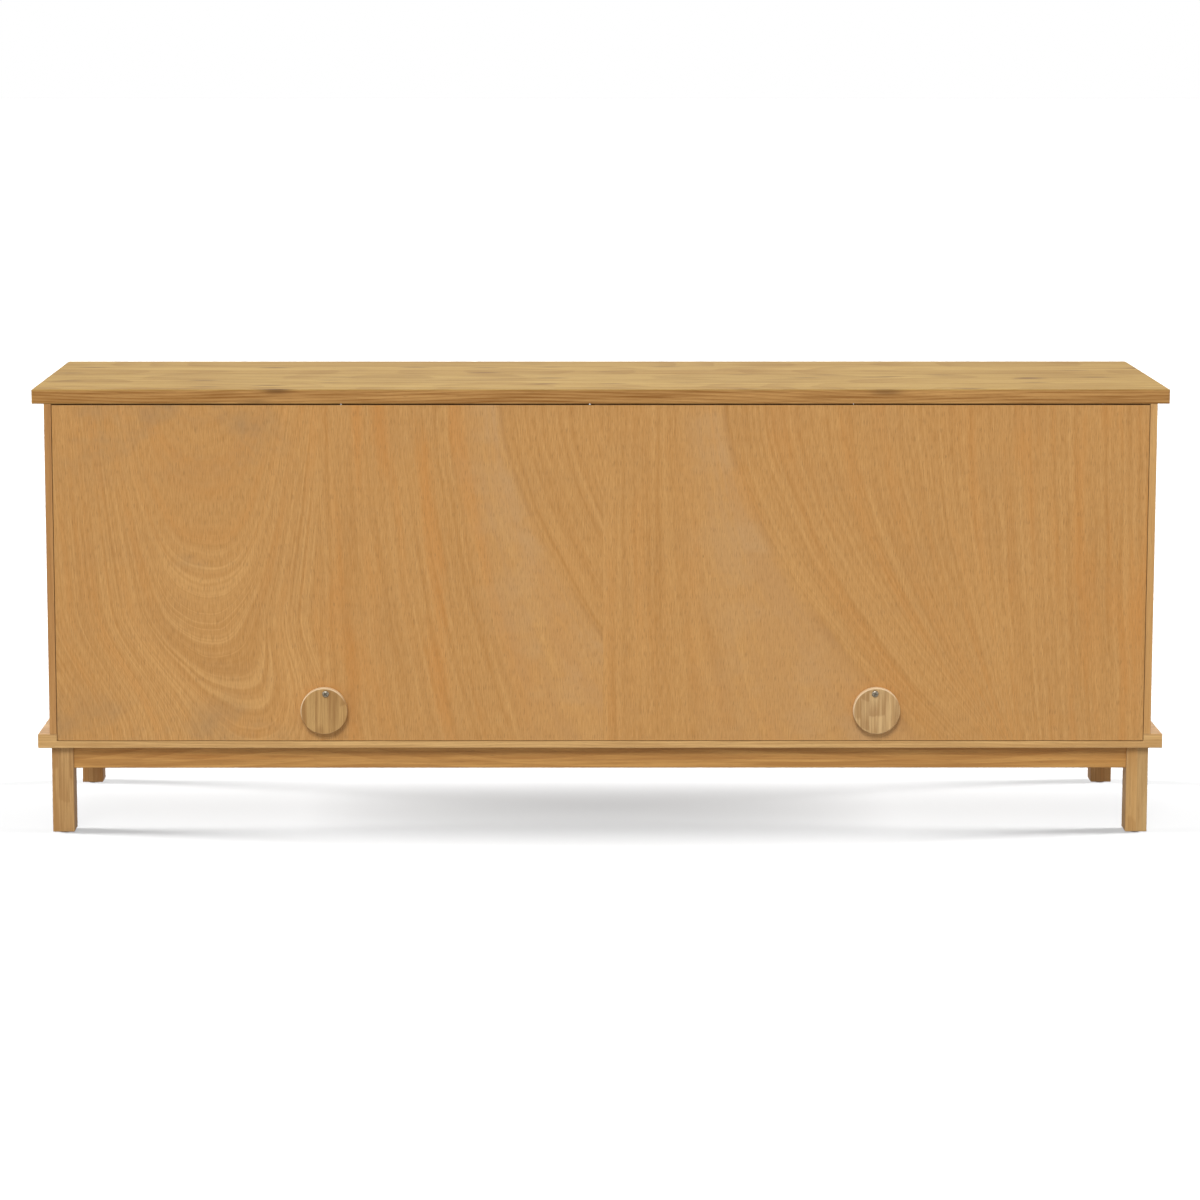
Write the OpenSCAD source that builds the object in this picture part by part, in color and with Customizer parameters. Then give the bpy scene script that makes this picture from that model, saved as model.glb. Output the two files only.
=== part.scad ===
// Long, low cabinet on a four-legged base: two bays, four hinged doors, a plywood back with two
// cable holes, and a round wooden cover that swings over each hole.
// Millimetres, +Z up, doors towards -Y, origin on the floor at the middle of the whole object.

/* [Carcass] */
// Width of the top and bottom boards
total_w = 1800; // [1600:10:2000]
// Depth of the top and bottom boards
total_d = 420; // [380:5:480]
// Height of the top face above the floor
total_h = 720; // [640:5:800]
// Thickness of the top, bottom, side and divider boards
board_t = 23; // [20:0.5:26]
// How far the boards run past the sides and past the doors
overhang = 19; // [12:1:24]
// Radius worn on the free edges of the boards
edge_r = 1.5; // [1:0.25:2.5]

/* [Back panel] */
// Thickness of the plywood back
back_t = 9; // [6:0.5:10]
// Width of the rabbets that the back sits in
rabbet_w = 11.5; // [9:0.5:13]
// Gap left around the back in its rabbets
back_gap = 1; // [0.5:0.25:1.5]
// How far the back sits in from the rear edges
back_recess = 0.5; // [0.25:0.25:1]

/* [Cable holes and covers] */
// Distance of each pivot screw from the middle of the cabinet
pivot_x = 438; // [380:1:460]
// Height of the pivot screws above the bottom board
pivot_rise = 68; // [64:1:90]
// Radius of the cable holes
cable_hole_r = 25; // [20:0.5:25]
// Diameter of the wooden covers
cover_d = 75; // [72:1:80]
// Thickness of the wooden covers
cover_t = 12; // [9:0.5:15]
// Distance from the middle of a cover down from its screw
cover_drop = 28.5; // [27:0.5:29]
// How far each hanging cover rests to the outside of its screw
cover_swing_x = 3; // [0:0.5:5]

/* [Base] */
// Height of the legs with their glides
base_h = 142; // [120:1:170]
// Side of the square legs
leg_s = 35; // [32:1:42]
// How far the outer faces of the legs sit in from the sides' outer faces
leg_inset_x = 1; // [0:0.5:5]
// How far the rear legs sit in from the rear edge of the boards
leg_inset_rear = 12; // [8:1:16]
// How far the front legs sit in from the front edge of the boards
leg_inset_front = 23; // [16:1:28]
// Height of the rails between the legs
rail_h = 36; // [30:1:50]
// Thickness of the rails
rail_t = 22; // [18:1:24]
// How far the rails sit in from the outer faces of the legs
rail_set = 4; // [2:0.5:6]

/* [Doors and shelves] */
// Gap around every door
door_gap = 2.2; // [2.2:0.1:3]
// Thickness of the door frames
door_t = 20; // [18:1:22]
// Width of the door stiles and rails
frame_w = 58; // [50:1:75]
// Thickness of the door panels
panel_t = 8; // [6:0.5:9]
// Length of the round knobs
knob_len = 26; // [25:1:34]
// Diameter of the round knobs
knob_d = 30; // [26:1:36]
// Thickness of the shelves
shelf_t = 18; // [15:0.5:20]
// Height of the upper face of the shelf pins above the bottom board
shelf_rise = 262; // [200:2:290]

/* [Hidden] */
$fn = 64;
SIDES = [["left", -1], ["right", 1]];
// name, side of the cabinet (-1 left), and direction from the hinge to the knob
DOORS = [
  ["left_outer", -1, 1],
  ["left_inner", -1, -1],
  ["right_inner", 1, 1],
  ["right_outer", 1, -1]
];

// Gap between two faces that pass or rest beside each other
run_gap = 0.3;
// Radial clearance of a pin that turns in its hole
pin_clear = 0.05;
// How far a cut runs past the face that it opens
cut = 1;
// Gap left beyond the end of a pin or nail in its hole
end_gap = 0.5;
// How far a screw's shank is one with its pan head
shank_in_head = 0.5;
// Width of a cross recess over its head's radius, and its depth over its head's height
recess_share = [1.1, 0.6];
// Facets on a quarter turn of an eased edge
ease_steps = 3;

// Pivot screws
pivot_r = 2.5;
pivot_head_r = 5.5;
pivot_head_h = 3.4;
pivot_in_panel = back_t - 1;
cover_stack = run_gap + cover_t + run_gap + pivot_head_h - back_recess;

// Main planes
knob_past_edge = max(0, knob_len - overhang);
rear_y = (total_d + knob_past_edge - cover_stack) / 2;
front_y = rear_y - total_d;
face_y = front_y + overhang;
side_x = total_w / 2 - overhang;
bay_x0 = board_t / 2;
bay_x1 = side_x - board_t;
floor_z = base_h + board_t;
under_z = total_h - board_t;
rabbet_d = back_t + back_recess;
back_y = rear_y - back_recess;
inner_y = rear_y - rabbet_d;
rabbet_x = bay_x1 + rabbet_w;
back_x = rabbet_x - back_gap;
back_z0 = floor_z - rabbet_w + back_gap;
back_z1 = under_z - 2 * back_gap;

// Cable holes, each clear of its cover when that is turned up
turned_up_gap = 2;
pivot_z = floor_z + pivot_rise;
hole_z = pivot_z - cover_d / 2 + cover_drop - cable_hole_r - turned_up_gap;

// Base frame
glide_h = 2;
glide_r = 11;
glide_nail_r = 1.2;
glide_nail_l = 14;
leg_x = side_x - leg_inset_x;
leg_rear_y = rear_y - leg_inset_rear;
leg_front_y = front_y + leg_inset_front;
leg_edge_r = 1.3 * edge_r;
tenon_l = 14;
tenon_t = 10;
tenon_margin = 5;
block_leg = 52;
block_h = 24;
block_screw_in = 11.5;
block_screw_pitch = 18.5;
frame_screw_r = 2.2;
frame_screw_head_r = 4.4;
frame_screw_l = 38;

// Dowels in the carcass joints
dowel_r = 4;
dowel_l = 30;
dowel_count = 4;
dowel_end = 45;

// Brads in the back panel
brad_r = 0.6;
brad_l = 18;
brad_pitch = 150;

// Doors
bay_w = bay_x1 - bay_x0;
door_w = (bay_w - 3 * door_gap) / 2;
door_h = under_z - floor_z - 2 * door_gap;
door_z = floor_z + door_gap;
groove_d = 8;
groove_t = panel_t + 0.4;
panel_slack = 0.5;

// Hinges
leaf_t = 0.8;
leaf_h = 50;
leaf_l = 17;
knuckle_r = 3;
hinge_pin_r = 1.3;
knuckles = 5;
axis_out = knuckle_r + run_gap;
hinge_end = 55;
cap_h = 1.6;
cap_r = 2.4;
leaf_screw_near = 6;
leaf_screw_far = 11;
leaf_screw_end = 7;
screw_r = 1.4;
screw_head_r = 2.7;
hinge_screw_l = 11;

// Knob screws, strike plates and catches
knob_screw_r = 2;
knob_screw_head_r = 4.5;
knob_screw_head_h = 2.4;
knob_screw_in = 13;
strike_w = 34;
strike_h = 12;
strike_t = 1.2;
strike_drop = 1;
strike_screw_x = 11.5;
catch_w = 46;
catch_h = 14;
catch_d = 15;
catch_screw_x = 16.5;
catch_mouth = [15, 1, 9];

// Shelves
shelf_pin_r = 2.5;
shelf_pin_in = 9;
shelf_pin_out = 8;
shelf_hole_pitch = 32;
shelf_hole_rows = 3;
shelf_gap = 1.5;
shelf_back_gap = 3;
shelf_front_gap = 14;
shelf_pin_inset = 45;
shelf_y0 = face_y + door_t + shelf_front_gap;
shelf_y1 = inner_y - shelf_back_gap;

function door_nodes(d) = [
  for (piece = ["stiles", "rails", "panel", "knob", "hinge_leaves", "strike", "screws"])
    str("door_", d[0], "_", piece)
];

// ---------- shared shapes ----------

// Points of a w by h rectangle whose corners are eased to radius r
function eased_outline(w, h, r) = [
  for (c = [[w - r, h - r, 0], [r, h - r, 90], [r, r, 180], [w - r, r, 270]])
    for (i = [0:ease_steps])
      let (a = c[2] + 90 * i / ease_steps)
        [c[0] + r * cos(a), c[1] + r * sin(a)]
];

// Board from the origin to size, with all twelve edges eased
module eased_board(size, r = edge_r) {
  intersection() {
    linear_extrude(size.z) polygon(eased_outline(size.x, size.y, r));
    rotate([90, 0, 90]) linear_extrude(size.x) polygon(eased_outline(size.y, size.z, r));
    translate([0, size.y, 0])
      rotate([90, 0, 0]) linear_extrude(size.y) polygon(eased_outline(size.x, size.z, r));
  }
}

// Board from the origin to size, with only its four upright edges eased
module eased_upright(size, r = edge_r) {
  linear_extrude(size.z) polygon(eased_outline(size.x, size.y, r));
}

// Board from the origin to size, with only its four edges along X eased
module eased_lengthwise(size, r = edge_r) {
  rotate([90, 0, 90]) linear_extrude(size.x) polygon(eased_outline(size.y, size.z, r));
}

// Cylinder of length l that starts at the origin and runs along +Y
module rod_y(r, l) {
  rotate([-90, 0, 0]) cylinder(r = r, h = l);
}

// Countersunk screw: its flat head's top at the origin, its shank running down -Z
module flat_screw(r, head_r, l) {
  head_h = head_r - r;
  difference() {
    union() {
      translate([0, 0, -head_h]) cylinder(r1 = r, r2 = head_r, h = head_h);
      translate([0, 0, -l]) cylinder(r = r, h = l - head_h);
    }
    cross_recess(head_r, head_h);
  }
}

// Cross recess cut down from the origin into a head of radius head_r and height head_h
module cross_recess(head_r, head_h) {
  w = head_r * recess_share[0];
  slot_w = w / 4;
  depth = head_h * recess_share[1];
  for (a = [0, 90])
    rotate([0, 0, a]) translate([-w / 2, -slot_w / 2, -depth]) cube([w, slot_w, 2 * depth]);
}

// ---------- carcass ----------

// Positions along Y of the dowels in one joint of depth d that starts at y0
function dowel_ys(y0, d) = [
  for (i = [0:dowel_count - 1]) y0 + dowel_end + i * (d - 2 * dowel_end) / (dowel_count - 1)
];

// x, and the list of y, of the upright boards that stand on dowels
UPRIGHTS = [
  [-side_x + board_t / 2, dowel_ys(face_y, total_d - overhang)],
  [0, dowel_ys(face_y, total_d - overhang - rabbet_d)],
  [side_x - board_t / 2, dowel_ys(face_y, total_d - overhang)]
];

// Every dowel of the joint plane at height z, grown by clear
module dowel_row(z, clear = 0) {
  for (u = UPRIGHTS)
    for (y = u[1])
      translate([u[0], y, z - dowel_l / 2 - clear]) cylinder(r = dowel_r + clear, h = dowel_l + 2 * clear);
}

module carcass_dowels() color("burlywood") {
  dowel_row(floor_z);
  dowel_row(under_z);
}

module top_board() color([0.86, 0.68, 0.42]) difference() {
  translate([-total_w / 2, front_y, under_z]) eased_board([total_w, total_d, board_t]);
  dowel_row(under_z, pin_clear);
}

module bottom_board() color([0.84, 0.64, 0.38]) difference() {
  translate([-total_w / 2, front_y, base_h]) eased_board([total_w, total_d, board_t]);
  translate([-rabbet_x, inner_y, floor_z - rabbet_w]) cube([2 * rabbet_x, rabbet_d + cut, rabbet_w + cut]);
  dowel_row(floor_z, pin_clear);
}

// Rows of shelf-pin holes in the upright board whose face is at x, drilled along dir
module shelf_pin_holes(x, dir) {
  for (row = [0:shelf_hole_rows - 1])
    for (y = [shelf_y0 + shelf_pin_inset, shelf_y1 - shelf_pin_inset])
      translate([x - dir * cut, y, shelf_pin_z(row - 1)])
        rotate([0, 90 * dir, 0]) cylinder(r = shelf_pin_r + pin_clear, h = cut + shelf_pin_in + end_gap);
}

function shelf_pin_z(row) = floor_z + shelf_rise - shelf_pin_r + row * shelf_hole_pitch;

module side_panel(s) color([0.84, 0.63, 0.37]) difference() {
  translate([s * (side_x - board_t / 2) - board_t / 2, face_y, floor_z])
    eased_upright([board_t, total_d - overhang, under_z - floor_z]);
  translate([s * bay_x1 - rabbet_w, inner_y, floor_z - cut])
    cube([2 * rabbet_w, rabbet_d + cut, under_z - floor_z + 2 * cut]);
  dowel_row(floor_z, pin_clear);
  dowel_row(under_z, pin_clear);
  shelf_pin_holes(s * bay_x1, s);
}

module centre_divider() color([0.84, 0.63, 0.37]) difference() {
  translate([-board_t / 2, face_y, floor_z])
    eased_upright([board_t, total_d - overhang - rabbet_d, under_z - floor_z]);
  dowel_row(floor_z, pin_clear);
  dowel_row(under_z, pin_clear);
  for (s = [-1, 1]) shelf_pin_holes(s * bay_x0, -s);
}

module back_panel() color([0.85, 0.60, 0.34]) difference() {
  translate([-back_x, inner_y, back_z0]) cube([2 * back_x, back_t, back_z1 - back_z0]);
  for (s = [-1, 1]) {
    translate([s * pivot_x, inner_y - cut, hole_z]) rod_y(cable_hole_r, back_t + 2 * cut);
    translate([s * pivot_x, back_y - pivot_in_panel, pivot_z]) rod_y(pivot_r, pivot_in_panel + cut);
  }
}

// Brads along the edges of the back, driven through it and set below its face
module back_brads() color("silver") {
  brad_y = back_y - run_gap - brad_l;
  edge_x = bay_x1 + rabbet_w / 3;
  rows = floor((back_z1 - back_z0) / brad_pitch);
  columns = floor(2 * back_x / brad_pitch);
  for (x = [-edge_x, 0, edge_x])
    for (i = [0:rows - 1])
      translate([x, brad_y, back_z0 + (i + 0.5) * (back_z1 - back_z0) / rows]) rod_y(brad_r, brad_l);
  for (i = [0:columns - 1])
    translate([(i + 0.5) * 2 * back_x / columns - back_x, brad_y, floor_z - rabbet_w / 2])
      rod_y(brad_r, brad_l);
}

module shelf(s) color([0.85, 0.66, 0.40])
  translate([s * (bay_x0 + bay_w / 2) - (bay_w / 2 - shelf_gap), shelf_y0, floor_z + shelf_rise])
    eased_board([bay_w - 2 * shelf_gap, shelf_y1 - shelf_y0, shelf_t]);

module shelf_pins() color("silver")
  for (s = [-1, 1])
    for (wall = [[s * bay_x0, -s], [s * bay_x1, s]])
      for (y = [shelf_y0 + shelf_pin_inset, shelf_y1 - shelf_pin_inset])
        translate([wall[0] - wall[1] * shelf_pin_out, y, shelf_pin_z(0)])
          rotate([0, 90 * wall[1], 0]) cylinder(r = shelf_pin_r, h = shelf_pin_in + shelf_pin_out);

// ---------- cable covers ----------

cover_edge_r = 1.2;
cover_y = back_y + run_gap;

// Half section of a disc of radius r and thickness t, its rims eased
function disc_section(r, t, e) = concat(
  [[0, 0]],
  [for (i = [0:ease_steps]) let (a = -90 + 90 * i / ease_steps) [r - e + e * cos(a), e + e * sin(a)]],
  [for (i = [0:ease_steps]) let (a = 90 * i / ease_steps) [r - e + e * cos(a), t - e + e * sin(a)]],
  [[0, t]]
);

module cable_cover(s) color([0.88, 0.68, 0.42]) difference() {
  translate([s * (pivot_x + cover_swing_x), cover_y, pivot_z - cover_drop])
    rotate([-90, 0, 0]) rotate_extrude() polygon(disc_section(cover_d / 2, cover_t, cover_edge_r));
  translate([s * pivot_x, cover_y - cut, pivot_z]) rod_y(pivot_r + pin_clear, cover_t + 2 * cut);
}

// Share of a pan head's height that is its upright rim, and the facets of the dome above it
pan_rim = 0.35;
pan_steps = 6;

// Half section of a pan head of radius r and height h: a short rim under a low dome
function pan_section(r, h) = concat(
  [[0, 0], [r, 0]],
  [
    for (i = [0:pan_steps - 1])
      let (a = 90 * i / pan_steps)
        [r * cos(a), h * (pan_rim + (1 - pan_rim) * sin(a))]
  ],
  [[0, h]]
);

module pan_head(r, h) difference() {
  rotate_extrude() polygon(pan_section(r, h));
  translate([0, 0, h]) cross_recess(r, h);
}

module pivot_screw(s) color("silver") {
  head_y = cover_y + cover_t + run_gap;
  shank_y = back_y - pivot_in_panel;
  translate([s * pivot_x, shank_y, pivot_z]) rod_y(pivot_r, head_y - shank_y + shank_in_head);
  translate([s * pivot_x, head_y, pivot_z]) rotate([-90, 0, 0]) pan_head(pivot_head_r, pivot_head_h);
}

// ---------- base ----------

leg_y0 = leg_front_y;
leg_y1 = leg_rear_y - leg_s;
rail_in = rail_set + rail_t / 2;
rail_z = base_h - rail_h;
tenon_z = rail_z + tenon_margin;
tenon_h = rail_h - 2 * tenon_margin;
span_x = leg_x - leg_s;
cross_tenon = 8;

// Tenon bar along X, centred on the end rails' line at height, from x0 to x1, at depth y
module tenon_bar_x(x0, x1, y) {
  translate([x0, y - tenon_t / 2, tenon_z]) cube([x1 - x0, tenon_t, tenon_h]);
}

// Tenon bar along Y from y0 to y1, centred at x
module tenon_bar_y(y0, y1, x) {
  translate([x - tenon_t / 2, y0, tenon_z]) cube([tenon_t, y1 - y0, tenon_h]);
}

// Solid that the front (f = -1) or rear (f = 1) rail's tenons fill
module long_tenons(f) {
  y = f > 0 ? leg_rear_y - rail_in : leg_front_y + rail_in;
  tenon_bar_x(-span_x - tenon_l, span_x + tenon_l, y);
}

// Solid that the tenons of the end rail on side s fill
module end_tenons(s) {
  tenon_bar_y(leg_front_y + leg_s - tenon_l, leg_rear_y - leg_s + tenon_l, s * (leg_x - rail_in));
}

// Solid that the cross rail's tenons fill
module cross_tenons() {
  reach = rail_in + rail_t / 2 - cross_tenon;
  tenon_bar_y(leg_front_y + reach, leg_rear_y - reach, 0);
}

module leg(s, f) color([0.86, 0.66, 0.38]) difference() {
  leg_h = base_h - glide_h;
  translate([s > 0 ? leg_x - leg_s : -leg_x, f > 0 ? leg_y1 : leg_y0, glide_h])
    intersection() {
      eased_board([leg_s, leg_s, leg_h + 2 * leg_edge_r], leg_edge_r);
      cube([leg_s, leg_s, leg_h]);
    }
  long_tenons(f);
  end_tenons(s);
  translate([s * (leg_x - leg_s / 2), f > 0 ? leg_rear_y - leg_s / 2 : leg_front_y + leg_s / 2, 0])
    cylinder(r = glide_nail_r, h = glide_h + glide_nail_l + end_gap);
}

module long_rail(f) color([0.80, 0.58, 0.32]) difference() {
  union() {
    translate([-span_x, f > 0 ? leg_rear_y - rail_set - rail_t : leg_front_y + rail_set, rail_z])
      intersection() {
        eased_lengthwise([2 * span_x, rail_t, rail_h + 2 * edge_r]);
        cube([2 * span_x, rail_t, rail_h]);
      }
    long_tenons(f);
  }
  cross_tenons();
}

module end_rail(s) color([0.80, 0.58, 0.32]) union() {
  translate([s > 0 ? leg_x - rail_set - rail_t : -leg_x + rail_set, leg_front_y + leg_s, rail_z])
    cube([rail_t, leg_rear_y - leg_front_y - 2 * leg_s, rail_h]);
  end_tenons(s);
}

module cross_rail() color([0.80, 0.58, 0.32]) union() {
  reach = rail_in + rail_t / 2;
  translate([-rail_t / 2, leg_front_y + reach, rail_z])
    cube([rail_t, leg_rear_y - leg_front_y - 2 * reach, rail_h]);
  cross_tenons();
}

// Puts a shape drawn in the corner of the left front leg, from that leg's outer corner, into corner s, f
module at_corner(s, f) {
  translate([s * leg_x, f > 0 ? leg_rear_y : leg_front_y, 0])
    mirror([s > 0 ? 1 : 0, 0, 0]) mirror([0, f > 0 ? 1 : 0, 0]) children();
}

// Places of the two screws in a corner block, from the leg's outer corner
BLOCK_SCREWS = [for (i = [0, 1]) rail_set + rail_t + block_screw_in + i * block_screw_pitch];

module frame_screws() color("silver")
  for (s = [-1, 1])
    for (f = [-1, 1])
      at_corner(s, f) corner_screws(0);

// The two screws of one corner, heads down; clear grows them into the holes that they need
module corner_screws(clear) {
  n = len(BLOCK_SCREWS) - 1;
  for (i = [0:n])
    translate([BLOCK_SCREWS[i], BLOCK_SCREWS[n - i], base_h - block_h])
      rotate([180, 0, 0])
        if (clear > 0) flat_screw_hole(frame_screw_r + clear, frame_screw_head_r + clear, frame_screw_l);
        else flat_screw(frame_screw_r, frame_screw_head_r, frame_screw_l);
}

// Hole for a countersunk screw, running down -Z from just above the origin
module flat_screw_hole(r, head_r, l) {
  head_h = head_r - r;
  translate([0, 0, -head_h]) cylinder(r1 = r, r2 = head_r + cut, h = head_h + cut);
  translate([0, 0, -l]) cylinder(r = r, h = l);
}

module corner_blocks() color("burlywood")
  for (s = [-1, 1])
    for (f = [-1, 1])
      at_corner(s, f) corner_block();

module corner_block() difference() {
  inside = rail_set + rail_t;
  translate([0, 0, base_h - block_h])
    linear_extrude(block_h)
      polygon([[inside, inside], [inside + block_leg, inside], [inside, inside + block_leg]]);
  translate([0, 0, base_h - block_h - cut]) cube([leg_s, leg_s, block_h + 2 * cut]);
  corner_screws(pin_clear);
}

module foot_glides() color("dimgray")
  for (s = [-1, 1])
    for (f = [-1, 1])
      at_corner(s, f) translate([leg_s / 2, leg_s / 2, 0]) {
        cylinder(r = glide_r, h = glide_h);
        cylinder(r = glide_nail_r, h = glide_h + glide_nail_l);
      }

// ---------- doors ----------

function is_outer(d) = d[1] * d[2] < 0;
function hinge_x(d) = d[1] * (is_outer(d) ? bay_x1 : bay_x0);

// Puts a shape drawn from a door's hinge edge, front face and lower edge into place for door d
module at_door(d) {
  translate([hinge_x(d) + d[2] * door_gap, face_y, door_z]) mirror([d[2] < 0 ? 1 : 0, 0, 0]) children();
}

HINGE_ZS = [hinge_end, door_h - hinge_end - leaf_h];
// Places of a leaf's three screws, from the hinge's axis and its lower end
LEAF_SCREWS = [
  [leaf_screw_far, leaf_screw_end],
  [leaf_screw_near, leaf_h / 2],
  [leaf_screw_far, leaf_h - leaf_screw_end]
];
groove_y = (door_t - groove_t) / 2;
panel_y = (door_t - panel_t) / 2;
knob_x = door_w - frame_w / 2;

module door_stiles(d) color([0.85, 0.65, 0.39]) at_door(d) difference() {
  for (x = [0, door_w - frame_w]) translate([x, 0, 0]) eased_board([frame_w, door_t, door_h]);
  translate([frame_w - groove_d, groove_y, -cut])
    cube([door_w - 2 * frame_w + 2 * groove_d, groove_t, door_h + 2 * cut]);
  translate([knob_x, -cut, door_h / 2]) rod_y(knob_screw_r + pin_clear, door_t + 2 * cut);
}

module door_rails(d) color([0.85, 0.65, 0.39]) at_door(d) difference() {
  tongue = groove_d - run_gap;
  for (z = [0, door_h - frame_w])
    translate([frame_w, 0, z]) {
      eased_lengthwise([door_w - 2 * frame_w, door_t, frame_w]);
      translate([-tongue, groove_y, 0]) cube([door_w - 2 * frame_w + 2 * tongue, groove_t, frame_w]);
    }
  translate([0, groove_y, frame_w - groove_d])
    cube([door_w, groove_t, door_h - 2 * frame_w + 2 * groove_d]);
}

module door_panel(d) color([0.86, 0.64, 0.38]) at_door(d) {
  grow = groove_d - panel_slack;
  translate([frame_w - grow, panel_y, frame_w - grow])
    cube([door_w - 2 * frame_w + 2 * grow, panel_t, door_h - 2 * frame_w + 2 * grow]);
}

// The knob's foot and neck over its radius, and its neck and widest line over its length
knob_foot = 0.55;
knob_neck = 0.42;
knob_neck_end = 0.42;
knob_widest = 0.68;
// Below 1, how much fuller than an ellipse the knob's face is
knob_fullness = 0.7;
knob_steps = 7;

// Half section of the knob: a foot that narrows to a neck, then a round flattened head
function knob_section(r, l) = let (foot_r = r * knob_foot, neck_r = r * knob_neck)
  let (neck_l = l * knob_neck_end, mid = l * knob_widest) concat(
    [[0, 0]],
    [
      for (i = [0:knob_steps])
        let (t = i / knob_steps)
          [neck_r + (foot_r - neck_r) * pow(1 - t, 2), neck_l * t]
    ],
    [
      for (i = [1:knob_steps])
        let (a = -90 + 90 * i / knob_steps)
          [neck_r + (r - neck_r) * cos(a), mid + (mid - neck_l) * sin(a)]
    ],
    [
      for (i = [1:knob_steps - 1])
        let (a = 90 * i / knob_steps)
          [r * pow(cos(a), knob_fullness), mid + (l - mid) * sin(a)]
    ],
    [[0, l]]
  );

module door_knob(d) color([0.88, 0.68, 0.42]) at_door(d)
  translate([knob_x, 0, door_h / 2]) rotate([90, 0, 0])
    difference() {
      rotate_extrude() polygon(knob_section(knob_d / 2, knob_len));
      translate([0, 0, -cut]) cylinder(r = knob_screw_r, h = cut + knob_screw_in + end_gap);
    }

// Knuckles of one hinge whose lower end is at the origin on its axis; first is 0 or 1
module hinge_knuckles(first, bore_r, leaf_x0) {
  pitch = leaf_h / knuckles;
  for (i = [first:2:knuckles - 1])
    translate([0, 0, i * pitch + run_gap / 2])
      difference() {
        union() {
          cylinder(r = knuckle_r, h = pitch - run_gap);
          translate([leaf_x0, 0, 0]) cube([leaf_t, axis_out + cut, pitch - run_gap]);
        }
        translate([0, 0, -cut]) cylinder(r = bore_r, h = pitch + 2 * cut);
      }
}

// One leaf with its knuckles; side is -1 for the leaf on the carcass and 1 for the leaf on the door
module hinge_leaf(side) {
  x0 = side > 0 ? door_gap / 2 - leaf_t : -door_gap / 2;
  hinge_knuckles(side > 0 ? 1 : 0, hinge_pin_r + (side > 0 ? pin_clear : 0), x0);
  difference() {
    translate([x0, axis_out, 0]) cube([leaf_t, leaf_l, leaf_h]);
    leaf_screws(side) flat_screw_hole(screw_r + pin_clear, screw_head_r + pin_clear, hinge_screw_l);
  }
}

// Places its child at each screw of a leaf, the screw's head on the leaf's open face
module leaf_screws(side) {
  for (p = LEAF_SCREWS)
    translate([side * (door_gap / 2 - leaf_t), axis_out + p[0], p[1]])
      rotate([0, -90 * side, 0]) children();
}

// Places its child at the axis of each hinge of door d
module at_hinges(d) {
  at_door(d)
    for (z = HINGE_ZS) translate([-door_gap / 2, -axis_out, z]) children();
}

module door_hinge_leaves(d) color("goldenrod") at_hinges(d) hinge_leaf(1);

module carcass_hinge_leaves() color("goldenrod")
  for (d = DOORS) at_hinges(d) hinge_leaf(-1);

module hinge_pins() color("goldenrod")
  for (d = DOORS)
    at_hinges(d) {
      translate([0, 0, -cap_h]) cylinder(r = hinge_pin_r, h = leaf_h + 2 * cap_h);
      for (z = [-cap_h, leaf_h]) translate([0, 0, z]) cylinder(r = cap_r, h = cap_h);
    }

// The strike plate's own place: its middle on the door's back face
module at_strike() {
  translate([knob_x, door_t, door_h - strike_drop - strike_h / 2]) children();
}

// Places its child at each screw of the strike plate, its head on the plate's face
module strike_screws() {
  at_strike()
    for (x = [-strike_screw_x, strike_screw_x])
      translate([x, strike_t, 0]) rotate([-90, 0, 0]) children();
}

module door_strike(d) color("silver") at_door(d) difference() {
  at_strike() translate([-strike_w / 2, 0, -strike_h / 2]) cube([strike_w, strike_t, strike_h]);
  strike_screws() flat_screw_hole(screw_r + pin_clear, screw_head_r + pin_clear, hinge_screw_l);
}

module door_screws(d) color("silver") {
  at_hinges(d) leaf_screws(1) flat_screw(screw_r, screw_head_r, hinge_screw_l);
  at_door(d) {
    strike_screws() flat_screw(screw_r, screw_head_r, hinge_screw_l);
    translate([knob_x, 0, door_h / 2]) {
      translate([0, -knob_screw_in, 0]) rod_y(knob_screw_r, knob_screw_in + door_t + shank_in_head);
      translate([0, door_t, 0]) rotate([-90, 0, 0]) pan_head(knob_screw_head_r, knob_screw_head_h);
    }
  }
}

// Middle of the catch of door d, on the underside of the top board
module at_catch(d) {
  at_door(d)
    translate([knob_x, door_t + strike_t + run_gap, door_h + door_gap]) children();
}

// Places its child at each screw of a catch, its head on the catch's lower face
module catch_screws() {
  for (x = [-catch_screw_x, catch_screw_x])
    translate([x, catch_d / 2, -catch_h]) rotate([180, 0, 0]) children();
}

module magnetic_catches() color("saddlebrown")
  for (d = DOORS)
    at_catch(d) difference() {
      translate([-catch_w / 2, 0, -catch_h]) cube([catch_w, catch_d, catch_h]);
      catch_screws() flat_screw_hole(screw_r + pin_clear, screw_head_r + pin_clear, 2 * catch_h);
      translate([-catch_mouth.x / 2, -cut, -catch_h - cut]) cube(catch_mouth + [0, cut, cut]);
    }

// Screws of the carcass-side hinge leaves and of the catches
module hinge_screws() color("silver")
  for (d = DOORS) {
    at_hinges(d) leaf_screws(-1) flat_screw(screw_r, screw_head_r, hinge_screw_l);
    at_catch(d) catch_screws() flat_screw(screw_r, screw_head_r, catch_h + hinge_screw_l);
  }

// ---------- drawing ----------

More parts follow.
